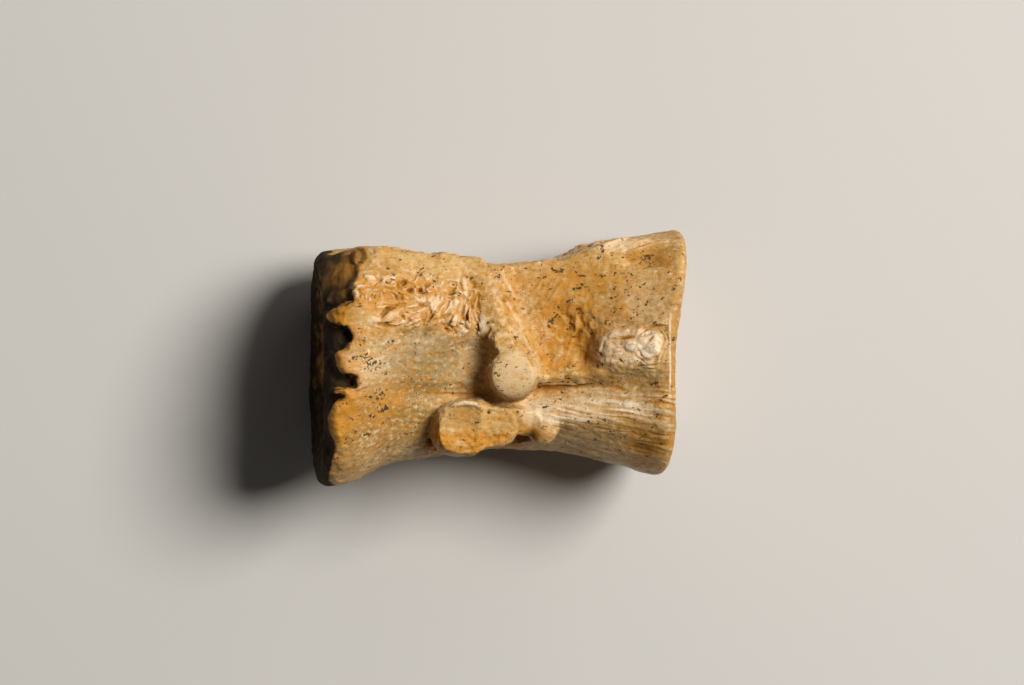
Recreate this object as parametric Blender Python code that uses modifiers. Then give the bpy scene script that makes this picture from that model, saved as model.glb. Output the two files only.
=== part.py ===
"""One fossil reptile vertebra, a long centrum lying on its left side, in metres with Z up.

X runs along the bone, Y towards its back (dorsal side) and Z up, away from the table.
The surface is a UV sphere lying along X whose rings are moved to stations on the bone,
then raised and lowered by named features, and thinned to a light mesh at the end.
"""

import bpy
import numpy as np

MM = 0.001

# Overall sizes in millimetres, with x = 0 at the waist and y = 0 near mid height.
LEFT_END = -14.34
RIGHT_END = 13.8
MID_DEPTH = 9.2
REST_TRIM = 0.20
RIM_ROUND = 0.85
LEFT_CUP = 2.3
RIGHT_CUP = 1.9
RIGHT_TOP_REACH = 1.35
RIGHT_BOTTOM_REACH = 0.25
CANAL_HALF = 2.0
CANAL_DEPTH = 1.25
PEDICLE_AT = 4.0
PEDICLE_HALF = 1.7
PEDICLE_LEVEL = 0.9
FACET_DROP = 0.85
FACET_RISE = 0.16
FACET_BEND = 0.09
SINK = 2.2

# The mesh: a coarse sphere, halved a few times, and the rows of its profile.
AROUND = 96
ALONG = 100
HALVINGS = 2
FACE_ROWS = 60
ROUND_ROWS = 12
BODY_ROWS = 260
VOXEL = 0.20
SMOOTHINGS = 4
TRIANGLES = 11400

# Stations along the bone: x, top edge, bottom edge, half depth, and how square the back and belly are.
STATIONS = (
    (-14.34, 8.70, -10.45, 9.15, 2.70, 2.50),
    (-12.60, 8.90, -10.40, 9.25, 2.75, 2.45),
    (-9.00, 8.95, -8.85, 7.70, 3.00, 2.20),
    (-5.50, 8.30, -8.15, 6.35, 3.20, 2.05),
    (-2.00, 7.75, -7.75, 5.65, 3.30, 2.00),
    (1.50, 7.70, -7.65, 5.50, 3.30, 2.05),
    (5.90, 8.40, -7.92, 6.20, 3.20, 2.30),
    (8.00, 9.30, -8.30, 6.95, 3.00, 2.40),
    (11.00, 9.85, -9.10, 8.25, 2.75, 2.45),
    (12.80, 10.40, -9.55, 9.15, 2.60, 2.45),
    (13.80, 10.60, -9.50, 9.25, 2.60, 2.45),
)

# Rib facets, each as x, y, half length, half height and how far it stands out.
UPPER_FACET = (1.00, -1.42, 2.14, 2.18, 2.85)
KNOB_LEAN = 0.10
LOWER_FACET = (-1.95, -5.25, 3.80, 2.00, 1.85)
FACET_POWER = 2.5
LOBE_STEP = 0.50
LOBE_EDGE = -1.45
FACET_LOBE = (-3.30, -5.05, 1.80, 1.20)
FACET_BUD = (3.50, -5.65, 1.60, 1.25, 1.45)
FACET_BREAK = (2.05, -6.30, 0.95, 0.80)

# Bars that carry the facets, each a line of x, y and height, and ridges of one flank in the same form.
NECK = ((-0.10, 2.70, 0.55), (0.15, 1.50, 1.60), (0.70, 0.20, 2.35))
BRIDGE = ((-1.00, -4.75, 1.55), (1.20, -4.75, 1.40), (2.60, -5.00, 0.80))
BUTTRESS = ((-1.30, 7.60, 0.30), (-0.70, 4.80, 0.80), (0.20, 2.20, 1.20), (0.90, 0.40, 1.40))
LAMINA = ((1.50, 2.20, 0.20), (2.30, 0.90, 0.45), (2.95, -0.30, 0.70), (3.10, -1.60, 0.50))
SHELF = ((2.80, -1.55, 0.60), (5.60, -1.45, 0.50), (8.80, -1.20, 0.15))
CREST = ((3.60, -5.30, 0.90), (5.60, -5.30, 1.10), (8.60, -5.10, 0.95), (12.0, -4.90, 0.20))

# The main folds of the wrinkled ground, each a short line of x, y and height.
FOLDS = (
    ((-10.6, 1.9, 0.05), (-9.2, 3.0, 0.40), (-8.2, 3.6, 0.10)),
    ((-8.6, 1.8, 0.05), (-7.2, 2.8, 0.45), (-5.9, 3.6, 0.10)),
    ((-6.3, 1.9, 0.05), (-5.4, 3.1, 0.45), (-4.8, 4.3, 0.10)),
    ((-4.4, 1.5, 0.05), (-3.9, 3.0, 0.45), (-3.5, 4.6, 0.10)),
    ((-2.6, 1.4, 0.05), (-2.5, 2.8, 0.45), (-2.4, 4.6, 0.10)),
    ((-11.0, 5.0, 0.10), (-9.4, 5.6, 0.40), (-7.6, 5.3, 0.10)),
    ((-7.2, 6.0, 0.05), (-6.2, 5.4, 0.40), (-5.0, 5.3, 0.10)),
)
FOLD_HALF = 0.75

# The lengthwise furrow between the rib facets, to their left and to their right, as x, y and depth.
LEFT_FURROW = ((-9.5, -2.7, 0.05), (-6.0, -2.9, 0.55), (-1.0, -3.1, 0.85))
RIGHT_FURROW = ((2.4, -2.9, 0.90), (7.0, -2.5, 0.75), (13.4, -2.0, 0.20))
FURROW_HALF = 1.25

# Hollows, each as its depth, its spot (x, y, half length, half height) and its power: two before the knob,
# the fossa behind it and the deep slot in that fossa.
HOLLOWS = (
    (0.90, (-2.8, -0.5, 3.6, 2.6), 1.3),
    (0.35, (-1.4, -0.2, 1.6, 2.1), 1.2),
    (0.75, (5.0, 1.0, 3.6, 3.4), 1.2),
    (0.50, (6.7, 0.3, 1.3, 2.2), 1.6),
)
LOST_LAYER = 0.35

# Low raised ground as height, spot and sloping share: the wrinkled area and the patch by the right rim.
SWELLINGS = (
    (0.45, (-7.0, 4.6, 5.0, 2.3), 0.35),
    (0.50, (10.2, 0.5, 2.7, 1.6), 0.30),
)

# The ragged edge of the outer bone layer by the left rim of the upper flank, as y and x.
RAGGED_EDGE = (
    (-9.5, -13.9), (-7.1, -13.3), (-6.0, -13.7), (-4.9, -13.9), (-3.9, -13.5), (-3.2, -12.5), (-2.9, -13.5),
    (-2.6, -13.2), (-2.3, -11.7), (-1.5, -11.6), (-1.3, -12.6), (-0.8, -13.2), (0.3, -13.3), (0.6, -12.5),
    (1.6, -12.0), (2.6, -12.5), (2.8, -13.9), (3.4, -14.1), (3.9, -13.2), (4.5, -11.9), (5.5, -12.1),
    (6.4, -11.6), (7.4, -11.4), (7.9, -10.8), (8.6, -11.0),
)
CHIP_STEP = 1.00
CHIP_EDGE = 0.60

# The smooth line, as y and x, from which the bone under that layer slopes away to the left rim.
BEVEL_LINE = ((-9.5, -14.6), (-6.0, -14.2), (-2.0, -13.2), (3.0, -12.9), (6.4, -12.2), (8.6, -11.4))
BEVEL_SLOPE = 0.70
BEVEL_BEND = 0.16


def smooth(low, high, value):
    """0 below low, 1 above high and an even slope between them."""
    t = np.clip((value - low) / (high - low), 0.0, 1.0)
    return t * t * (3.0 - 2.0 * t)


def along_stations(x, column):
    """One column of STATIONS at every x, along a cubic curve with no overshoot at the ends."""
    xs = np.array([row[0] for row in STATIONS])
    ys = np.array([row[column] for row in STATIONS])
    slopes = np.gradient(ys, xs)
    i = np.clip(np.searchsorted(xs, x) - 1, 0, len(xs) - 2)
    gap = xs[i + 1] - xs[i]
    t = np.clip((x - xs[i]) / gap, 0.0, 1.0)
    rise = (2 * t**3 - 3 * t**2 + 1) * ys[i] + (3 * t**2 - 2 * t**3) * ys[i + 1]
    bend = (t**3 - 2 * t**2 + t) * slopes[i] + (t**3 - t**2) * slopes[i + 1]
    return rise + gap * bend


def dome(x, y, spot, power=1.5):
    """1 in the middle of an elliptical spot (x, y, half length, half height) and 0 outside it."""
    q = ((x - spot[0]) / spot[2]) ** 2 + ((y - spot[1]) / spot[3]) ** 2
    return np.clip(1.0 - q, 0.0, 1.0) ** power


def table(x, y, spot, edge):
    """1 on a flat topped elliptical spot, falling to 0 over a share of its radius."""
    q = np.sqrt(((x - spot[0]) / spot[2]) ** 2 + ((y - spot[1]) / spot[3]) ** 2)
    return 1.0 - smooth(1.0 - edge, 1.0 + edge, q)


def ridge(x, y, line, width, crown=0.0):
    """Height of a rounded ridge over a line of (x, y, height) points, flat over a share of its width."""
    best = np.zeros_like(x)
    for (x0, y0, h0), (x1, y1, h1) in zip(line[:-1], line[1:]):
        dx, dy = x1 - x0, y1 - y0
        t = np.clip(((x - x0) * dx + (y - y0) * dy) / (dx * dx + dy * dy), 0.0, 1.0)
        gap = np.hypot(x - x0 - t * dx, y - y0 - t * dy)
        best = np.maximum(best, (h0 + t * (h1 - h0)) * (1.0 - smooth(crown * width, width, gap)))
    return best


def bar(x, y, line, width):
    """Height of a bar with steep sides over a line of (x, y, height) points."""
    return ridge(x, y, [(a, b, h + SINK) for a, b, h in line], width, 0.55) - SINK


def blend(shapes, softness):
    """The highest of several heights, with a fillet of about the given size where two meet."""
    top = shapes[0]
    for shape in shapes[1:]:
        h = np.clip(0.5 + (top - shape) / (2 * softness), 0.0, 1.0)
        top = shape + (top - shape) * h + softness * h * (1.0 - h)
    return top


def lumps(points, cell, seed):
    """Smooth noise from -1 to 1 whose lumps are about one cell across, the same on every run."""
    p = points / cell + 100.0
    base = np.floor(p).astype(np.int64)
    f = p - base
    f = f * f * (3.0 - 2.0 * f)
    total = np.zeros(len(points))
    for corner in range(8):
        step = np.array([corner & 1, corner >> 1 & 1, corner >> 2 & 1])
        at = base + step
        h = at[:, 0] * 73856093 ^ at[:, 1] * 19349663 ^ at[:, 2] * 83492791 ^ seed * 2654435
        h = (h ^ (h >> 13)) * 1274126177 & 0xFFFFFFFF
        h = (h ^ (h >> 16)) & 0xFFFF
        total += (h / 32767.5 - 1.0) * np.prod(np.where(step, f, 1.0 - f), axis=1)
    return total


def profile_rows():
    """x, share of the section size and cup share of every row from the left pole to the right."""
    inner = 1.0 - RIM_ROUND / 9.6
    left = [(LEFT_END, inner * s, 1.0 - s) for s in np.linspace(0.0, 1.0, FACE_ROWS)]
    for a in np.linspace(0.0, np.pi / 2, ROUND_ROWS)[1:]:
        left.append((LEFT_END + RIM_ROUND * (1 - np.cos(a)), inner + (1 - inner) * np.sin(a), 0.0))
    right = [(LEFT_END + RIGHT_END - x, s, c) for x, s, c in reversed(left)]
    run = np.linspace(LEFT_END + RIM_ROUND, RIGHT_END - RIM_ROUND, BODY_ROWS + 2)[1:-1]
    return np.array(left + [(x, 1.0, 0.0) for x in run] + right)


def cup_shape(share):
    """How far an end face is hollowed at a share of the way in from its lip: steep, then flat."""
    return smooth(0.0, 0.75, share) * 0.85 + 0.15 * share


def base_surface(angle, ring):
    """Millimetre points of the plain hourglass for an angle around X and a row of profile_rows."""
    x, share, cup = ring[:, 0], ring[:, 1], ring[:, 2]
    top, bottom, depth = along_stations(x, 1), along_stations(x, 2), along_stations(x, 3)
    c, s = np.cos(angle), np.sin(angle)
    power = along_stations(x, 5) + (along_stations(x, 4) - along_stations(x, 5)) * smooth(-0.2, 0.2, s)
    y = (top + bottom) / 2 + share * (top - bottom) / 2 * np.sign(s) * np.abs(s) ** (2 / power)
    z = share * depth * np.sign(c) * np.abs(c) ** (2 / power)
    reach = np.where(y > 0, RIGHT_TOP_REACH * smooth(0, 10, y), RIGHT_BOTTOM_REACH * smooth(0, 9, -y))
    at_right = smooth(7.0, RIGHT_END, x)
    x = x + at_right * reach + np.where(x < 0, LEFT_CUP, -RIGHT_CUP) * cup_shape(cup)
    return np.stack([x, y, z], axis=1)


def upper_facet(x, y):
    """Height of the low, round knob for the upper rib head: a gently domed top with steep sides."""
    q = np.hypot((x - UPPER_FACET[0]) / UPPER_FACET[2], (y - UPPER_FACET[1]) / UPPER_FACET[3])
    side = np.clip(1.0 - q**14, 0.0, 1.0) ** 0.5
    return (UPPER_FACET[4] + SINK) * side - SINK - 0.30 * np.clip(q, 0.0, 1.0) ** 2


def lower_facet(x, y):
    """Height of the oblong facet for the lower rib head, rising as the flank falls, its bridge and bud."""
    q = np.abs((x - LOWER_FACET[0]) / LOWER_FACET[2]) ** FACET_POWER
    past = smooth(LOBE_EDGE - 0.5, LOBE_EDGE + 0.5, x - 0.12 * (y - LOWER_FACET[1]))
    half = LOWER_FACET[3] * (1.0 - 0.22 * past)
    q = (q + np.abs((y - LOWER_FACET[1] - 0.06 * (x + 2.0)) / half) ** FACET_POWER) ** (1 / FACET_POWER)
    facet = (LOWER_FACET[4] + SINK) * (1.0 - smooth(0.80, 1.12, q)) - SINK
    below = np.clip(-3.6 - y, 0.0, 3.6)
    facet = facet - 0.32 * dome(x, y, FACET_LOBE, 0.8) - LOBE_STEP * past
    facet = facet + FACET_RISE * below + FACET_BEND * below**2
    bud = (FACET_BUD[4] + SINK) * dome(x, y, FACET_BUD, 0.45) - SINK
    return blend([facet, bar(x, y, BRIDGE, 1.2), bud], 0.3)


def furrow(x, y):
    """Depth of the lengthwise furrow between the two rib facets, open towards both ends."""
    return np.maximum(ridge(x, y, LEFT_FURROW, FURROW_HALF), ridge(x, y, RIGHT_FURROW, FURROW_HALF))


def ridges(x, y):
    """The buttress above the knob, its thin lamina, the shelf, the lower crest and the main folds."""
    lines = ((BUTTRESS, 2.3), (LAMINA, 0.75), (SHELF, 1.2), (CREST, 2.4))
    lines = lines + tuple((fold, FOLD_HALF) for fold in FOLDS)
    return sum(ridge(x, y, line, half) for line, half in lines)


def hollows(x, y):
    """Depth of the hollows before and behind the knob, and of the layer lost at the upper right."""
    deep = sum(depth * dome(x, y, spot, power) for depth, spot, power in HOLLOWS)
    return deep + LOST_LAYER * smooth(6.9, 7.2, y) * smooth(9.7, 10.2, x)


def swellings(x, y):
    """Height of the low raised ground."""
    return sum(height * table(x, y, spot, edge) for height, spot, edge in SWELLINGS)


def past_line(x, y, line):
    """How far a point lies to the left of a line of (y, x) points."""
    heights, places = np.array(line).T
    return np.clip(np.interp(y, heights, places) - x, 0.0, None)


def chip_depth(x, y, share):
    """How far the left rim is worn down: a bevel, and the layer that has chipped off along a ragged edge."""
    worn = past_line(x, y, BEVEL_LINE)
    chipped = CHIP_STEP * smooth(0.0, CHIP_EDGE, past_line(x, y, RAGGED_EDGE)) * smooth(0.55, 1.0, share)
    return chipped + (BEVEL_SLOPE * worn + BEVEL_BEND * worn**2) * share


def pedicle_top(x):
    """How far the broken pedicle stands above or below the station's top edge along the bone."""
    return 0.38 * smooth(-5.4, -4.4, x) * (1.0 - smooth(-1.5, -1.1, x)) - 0.15 * np.exp(-((x / 1.2) ** 2))


def side_height(x, y, hidden):
    """Outward height in millimetres of one flank, how far its knob leans left and its facet hangs down."""
    if hidden:
        x, y = x + 0.25 + 0.04 * y, 1.04 * y - 0.2
    ground = swellings(x, y) - hollows(x, y) - furrow(x, y) + ridges(x, y)
    knob = blend([upper_facet(x, y), bar(x, y, NECK, 1.2)], 0.4)
    low = lower_facet(x, y)
    height = blend([ground, knob, low], 0.55) - 0.9 * dome(x, y, FACET_BREAK, 1.0)
    lean = KNOB_LEAN * np.clip(knob, 0.0, None) * smooth(-0.2, 0.4, knob - low)
    hanging = smooth(3.6, 6.2, -y) * smooth(-0.2, 0.4, low - knob)
    return np.stack([height, lean, FACET_DROP * smooth(0.0, 1.2, low) * hanging])


def apply_features(points, angle, ring):
    """Raises both flanks, cuts the canal trough between the pedicle bases and roughens their breaks."""
    x, y, z = points.T
    facing, rising = np.cos(angle), np.sin(angle)
    on_body = 1.0 - smooth(0.0, 0.08, ring[:, 2])
    side = smooth(0.06, 0.42, np.abs(facing)) * on_body
    side = side * smooth(LEFT_END, LEFT_END + 2.5, x) * (1.0 - smooth(RIGHT_END - 2.2, RIGHT_END, x))
    near, far = side_height(x, y, False), side_height(x, y, True)
    height, lean, drop = side * np.where(facing > 0, near, far)
    z = z + height * np.where(facing > 0, 1.0, -0.97)
    z = z - chip_depth(ring[:, 0], y, ring[:, 1]) * smooth(-0.1, 0.5, facing)
    back = smooth(0.25, 0.70, rising) * on_body
    middle = smooth(LEFT_END, -9.5, x) * (1.0 - smooth(9.5, RIGHT_END + 1.0, x))
    canal = np.exp(-((z / CANAL_HALF) ** 4)) * back * (0.35 + 0.65 * middle)
    break_line = lumps(points, 1.7, 5) * 0.6 + lumps(points, 0.9, 6) * 0.4
    pedicle = np.exp(-(((np.abs(z) - PEDICLE_AT) / PEDICLE_HALF) ** 4)) * back * middle
    level = PEDICLE_LEVEL * np.clip(along_stations(x, 1) - y, 0.0, 2.0) + pedicle_top(x)
    keel = smooth(0.6, 0.95, -rising) * np.exp(-((x / 7.0) ** 2)) * np.exp(-((z / 2.6) ** 2)) * on_body
    y = y - drop - CANAL_DEPTH * canal + pedicle * (level + 0.18 * break_line) + 0.18 * keel
    return np.stack([x - lean, y, z], axis=1)


def bone_points(mesh):
    """Places every vertex of the halved UV sphere, read as an angle around X and a place in the profile."""
    unit = read_points(mesh)
    unit /= np.linalg.norm(unit, axis=1)[:, None]
    rows = profile_rows()
    level = np.arccos(np.clip(-unit[:, 2], -1.0, 1.0)) / np.pi * (len(rows) - 1)
    ring = np.stack([np.interp(level, np.arange(len(rows)), column) for column in rows.T], axis=1)
    angle = np.arctan2(unit[:, 1], unit[:, 0])
    points = apply_features(base_surface(angle, ring), angle, ring)
    weather = 0.10 * lumps(points, 2.4, 1) + 0.05 * lumps(points, 1.2, 2)
    points[:, 1:] += weather[:, None] * unit[:, [1, 0]]
    points[:, 2] += MID_DEPTH - REST_TRIM
    return points


def rest_on_table(points):
    """Trims the lowest bone to flats on the table and centres the bone's box on the origin."""
    points[:, 2] = np.maximum(points[:, 2], 0.0)
    for axis in (0, 1):
        points[:, axis] -= (points[:, axis].min() + points[:, axis].max()) / 2
    return points


def read_points(mesh):
    points = np.empty(len(mesh.vertices) * 3)
    mesh.vertices.foreach_get("co", points)
    return points.reshape(-1, 3)


def write_points(mesh, points):
    mesh.vertices.foreach_set("co", points.ravel())
    mesh.update()


def apply_modifier(piece, kind, **settings):
    modifier = piece.modifiers.new(kind.lower(), kind)
    for name, value in settings.items():
        setattr(modifier, name, value)
    bpy.context.view_layer.objects.active = piece
    bpy.ops.object.modifier_apply(modifier=modifier.name)


def bone_material():
    material = bpy.data.materials.new("fossil_bone")
    material.use_nodes = True
    shader = material.node_tree.nodes["Principled BSDF"]
    shader.inputs["Base Color"].default_value = (0.60, 0.38, 0.15, 1.0)
    shader.inputs["Roughness"].default_value = 0.55
    return material


def make_bone():
    """The bone in one piece, thinned to a light mesh and laid on its flats."""
    bpy.ops.mesh.primitive_uv_sphere_add(segments=AROUND, ring_count=ALONG, radius=1.0)
    bone = bpy.context.object
    bone.name = bone.data.name = "vertebra"
    apply_modifier(bone, "SUBSURF", subdivision_type="SIMPLE", levels=HALVINGS, render_levels=HALVINGS)
    write_points(bone.data, bone_points(bone.data) * MM)
    apply_modifier(bone, "REMESH", mode="VOXEL", voxel_size=VOXEL * MM, adaptivity=0.0)
    apply_modifier(bone, "SMOOTH", factor=0.5, iterations=SMOOTHINGS)
    faces = sum(len(face.vertices) - 2 for face in bone.data.polygons)
    apply_modifier(bone, "DECIMATE", ratio=TRIANGLES / faces, use_collapse_triangulate=True)
    write_points(bone.data, rest_on_table(read_points(bone.data) / MM) * MM)
    bone.data.materials.append(bone_material())
    return bone


def main():
    for old in list(bpy.data.objects):
        bpy.data.objects.remove(old)
    home = bpy.data.collections.new("reptile_vertebra")
    bpy.context.scene.collection.children.link(home)
    bone = make_bone()
    for holder in list(bone.users_collection):
        holder.objects.unlink(bone)
    home.objects.link(bone)


main()
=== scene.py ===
"""The looks of a fossil reptile vertebra: its fine surface, stained bone with some painted highlights and
shade, camera, lights and floor.
"""

import math

import bpy
import numpy as np
from mathutils import Matrix, Vector


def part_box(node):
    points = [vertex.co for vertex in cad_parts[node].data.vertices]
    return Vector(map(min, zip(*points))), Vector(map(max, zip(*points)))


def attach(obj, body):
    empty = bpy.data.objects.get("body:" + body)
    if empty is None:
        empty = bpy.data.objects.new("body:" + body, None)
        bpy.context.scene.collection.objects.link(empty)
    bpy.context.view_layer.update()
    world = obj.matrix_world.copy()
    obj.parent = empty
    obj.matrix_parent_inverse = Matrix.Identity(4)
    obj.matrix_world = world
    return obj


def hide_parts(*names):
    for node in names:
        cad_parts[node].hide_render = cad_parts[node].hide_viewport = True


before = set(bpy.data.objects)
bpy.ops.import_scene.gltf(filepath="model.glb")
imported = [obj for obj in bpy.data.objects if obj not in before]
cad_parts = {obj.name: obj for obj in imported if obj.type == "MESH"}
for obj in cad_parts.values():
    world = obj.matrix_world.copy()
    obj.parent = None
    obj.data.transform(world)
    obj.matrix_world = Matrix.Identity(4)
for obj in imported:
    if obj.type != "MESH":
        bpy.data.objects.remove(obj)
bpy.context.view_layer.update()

MM = 0.001
NODE = "vertebra"

# Overall sizes in millimetres, with x = 0 at the waist and y = 0 near mid height.
LEFT_END = -14.34
RIGHT_END = 13.8
MID_DEPTH = 9.2
REST_TRIM = 0.20
RIM_ROUND = 0.85
LEFT_CUP = 2.3
RIGHT_CUP = 1.9
RIGHT_TOP_REACH = 1.35
RIGHT_BOTTOM_REACH = 0.25
CANAL_HALF = 2.0
CANAL_DEPTH = 1.25
PEDICLE_AT = 4.0
PEDICLE_HALF = 1.7
PEDICLE_LEVEL = 0.9
FACET_DROP = 0.85
FACET_RISE = 0.16
FACET_BEND = 0.09
SINK = 2.2

# Stations along the bone: x, top edge, bottom edge, half depth, and how square the back and belly are.
STATIONS = (
    (-14.34, 8.70, -10.45, 9.15, 2.70, 2.50),
    (-12.60, 8.90, -10.40, 9.25, 2.75, 2.45),
    (-9.00, 8.95, -8.85, 7.70, 3.00, 2.20),
    (-5.50, 8.30, -8.15, 6.35, 3.20, 2.05),
    (-2.00, 7.75, -7.75, 5.65, 3.30, 2.00),
    (1.50, 7.70, -7.65, 5.50, 3.30, 2.05),
    (5.90, 8.40, -7.92, 6.20, 3.20, 2.30),
    (8.00, 9.30, -8.30, 6.95, 3.00, 2.40),
    (11.00, 9.85, -9.10, 8.25, 2.75, 2.45),
    (12.80, 10.40, -9.55, 9.15, 2.60, 2.45),
    (13.80, 10.60, -9.50, 9.25, 2.60, 2.45),
)

# Rib facets, each as x, y, half length, half height and how far it stands out.
UPPER_FACET = (1.00, -1.42, 2.14, 2.18, 2.85)
KNOB_LEAN = 0.10
LOWER_FACET = (-1.95, -5.25, 3.80, 2.00, 1.85)
FACET_POWER = 2.5
LOBE_STEP = 0.50
LOBE_EDGE = -1.45
FACET_LOBE = (-3.30, -5.05, 1.80, 1.20)
FACET_BUD = (3.50, -5.65, 1.60, 1.25, 1.45)
FACET_BREAK = (2.05, -6.30, 0.95, 0.80)

# Bars that carry the facets, each a line of x, y and height, and ridges of one flank in the same form.
NECK = ((-0.10, 2.70, 0.55), (0.15, 1.50, 1.60), (0.70, 0.20, 2.35))
BRIDGE = ((-1.00, -4.75, 1.55), (1.20, -4.75, 1.40), (2.60, -5.00, 0.80))
BUTTRESS = ((-1.30, 7.60, 0.30), (-0.70, 4.80, 0.80), (0.20, 2.20, 1.20), (0.90, 0.40, 1.40))
LAMINA = ((1.50, 2.20, 0.20), (2.30, 0.90, 0.45), (2.95, -0.30, 0.70), (3.10, -1.60, 0.50))
SHELF = ((2.80, -1.55, 0.60), (5.60, -1.45, 0.50), (8.80, -1.20, 0.15))
CREST = ((3.60, -5.30, 0.90), (5.60, -5.30, 1.10), (8.60, -5.10, 0.95), (12.0, -4.90, 0.20))

# The main folds of the wrinkled ground, each a short line of x, y and height.
FOLDS = (
    ((-10.6, 1.9, 0.05), (-9.2, 3.0, 0.40), (-8.2, 3.6, 0.10)),
    ((-8.6, 1.8, 0.05), (-7.2, 2.8, 0.45), (-5.9, 3.6, 0.10)),
    ((-6.3, 1.9, 0.05), (-5.4, 3.1, 0.45), (-4.8, 4.3, 0.10)),
    ((-4.4, 1.5, 0.05), (-3.9, 3.0, 0.45), (-3.5, 4.6, 0.10)),
    ((-2.6, 1.4, 0.05), (-2.5, 2.8, 0.45), (-2.4, 4.6, 0.10)),
    ((-11.0, 5.0, 0.10), (-9.4, 5.6, 0.40), (-7.6, 5.3, 0.10)),
    ((-7.2, 6.0, 0.05), (-6.2, 5.4, 0.40), (-5.0, 5.3, 0.10)),
)
FOLD_HALF = 0.75

# The lengthwise furrow between the rib facets, to their left and to their right, as x, y and depth.
LEFT_FURROW = ((-9.5, -2.7, 0.05), (-6.0, -2.9, 0.55), (-1.0, -3.1, 0.85))
RIGHT_FURROW = ((2.4, -2.9, 0.90), (7.0, -2.5, 0.75), (13.4, -2.0, 0.20))
FURROW_HALF = 1.25

# Hollows, each as its depth, its spot (x, y, half length, half height) and its power: two before the knob,
# the fossa behind it and the deep slot in that fossa.
HOLLOWS = (
    (0.90, (-2.8, -0.5, 3.6, 2.6), 1.3),
    (0.35, (-1.4, -0.2, 1.6, 2.1), 1.2),
    (0.75, (5.0, 1.0, 3.6, 3.4), 1.2),
    (0.50, (6.7, 0.3, 1.3, 2.2), 1.6),
)
LOST_LAYER = 0.35

# Low raised ground as height, spot and sloping share: the wrinkled area and the patch by the right rim.
SWELLINGS = (
    (0.45, (-7.0, 4.6, 5.0, 2.3), 0.35),
    (0.50, (10.2, 0.5, 2.7, 1.6), 0.30),
)

# The ragged edge of the outer bone layer by the left rim of the upper flank, as y and x.
RAGGED_EDGE = (
    (-9.5, -13.9), (-7.1, -13.3), (-6.0, -13.7), (-4.9, -13.9), (-3.9, -13.5), (-3.2, -12.5), (-2.9, -13.5),
    (-2.6, -13.2), (-2.3, -11.7), (-1.5, -11.6), (-1.3, -12.6), (-0.8, -13.2), (0.3, -13.3), (0.6, -12.5),
    (1.6, -12.0), (2.6, -12.5), (2.8, -13.9), (3.4, -14.1), (3.9, -13.2), (4.5, -11.9), (5.5, -12.1),
    (6.4, -11.6), (7.4, -11.4), (7.9, -10.8), (8.6, -11.0),
)
CHIP_STEP = 1.00
CHIP_EDGE = 0.60

# The smooth line, as y and x, from which the bone under that layer slopes away to the left rim.
BEVEL_LINE = ((-9.5, -14.6), (-6.0, -14.2), (-2.0, -13.2), (3.0, -12.9), (6.4, -12.2), (8.6, -11.4))
BEVEL_SLOPE = 0.70
BEVEL_BEND = 0.16

# The camera looks down from a little to the left, and the fine features of the near flank are given
# in millimetres as it sees them: u along the bone, leaning with height by LEAN, and v up it.
CAMERA_TURN = math.radians(6.0)
LEAN = math.tan(CAMERA_TURN)
CAMERA_AWAY = 0.50
FRAME_WIDE = 83.25 * MM
SENSOR = 36.0
AIM_RIGHT = 1.08 * MM
AIM_UP = 1.26 * MM

# The fine mesh: its segments, rings and rows, and its voxels in millimetres.
AROUND = 96
ALONG = 100
HALVINGS = 2
FACE_ROWS = 60
ROUND_ROWS = 12
BODY_ROWS = 260
VOXEL = 0.080

# The wrinkled ground: folds that bend round a centre, its lower and upper edges as u and v, and the
# strongest folds, each with u and v of both ends, half width and height.
FOLD_CENTRE = (-8.0, 6.0)
FOLD_REACH = 4.0
FOLD_FOOT = (
    (-10.2, 2.6), (-9.2, 2.1), (-7.6, 2.2), (-5.6, 2.5), (-4.6, 2.7), (-3.6, 1.8), (-2.4, 1.7), (-0.9, 2.0),
)
FOLD_TOP = (
    (-10.2, 3.2), (-8.8, 3.7), (-7.0, 4.2), (-5.2, 5.2), (-4.2, 6.2), (-2.4, 6.3), (-1.4, 5.2), (-0.9, 3.6),
)
FINGERS = (
    (-8.90, 2.90, -7.40, 3.75, 0.62, 0.34),
    (-7.10, 2.60, -5.65, 3.15, 0.27, 0.36),
    (-6.75, 3.55, -5.25, 3.95, 0.24, 0.32),
    (-6.80, 3.12, -5.85, 3.48, 0.14, 0.24),
    (-5.50, 2.65, -5.10, 3.70, 0.13, 0.30),
    (-5.20, 2.70, -4.30, 3.60, 0.24, 0.42),
    (-4.35, 3.65, -3.85, 4.35, 0.22, 0.40),
    (-4.15, 2.70, -3.50, 3.25, 0.28, 0.34),
    (-3.85, 2.50, -3.15, 2.00, 0.30, 0.32),
    (-1.60, 3.75, -1.05, 2.20, 0.13, 0.24),
    (-4.30, 5.25, -3.10, 5.85, 0.32, 0.28),
    (-3.95, 4.90, -2.95, 5.00, 0.19, 0.32),
    (-2.95, 5.00, -2.65, 4.45, 0.14, 0.30),
    (-10.6, 5.50, -8.20, 5.48, 0.17, 0.30),
    (-10.3, 6.30, -9.30, 6.15, 0.36, 0.30),
    (-7.45, 6.10, -7.10, 5.30, 0.15, 0.34),
    (-6.60, 5.70, -6.20, 4.90, 0.16, 0.34),
    (-7.40, 5.35, -6.75, 5.62, 0.13, 0.28),
    (-6.30, 4.90, -5.60, 4.95, 0.15, 0.28),
    (-5.60, 6.35, -5.20, 6.10, 0.18, 0.24),
    (-5.75, 4.95, -4.80, 5.30, 0.22, 0.28),
    (-7.30, 4.75, -6.80, 4.62, 0.15, 0.28),
    (-9.90, 4.20, -7.40, 4.50, 0.15, 0.22),
    (-8.20, 5.10, -7.70, 4.60, 0.14, 0.24),
)

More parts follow.
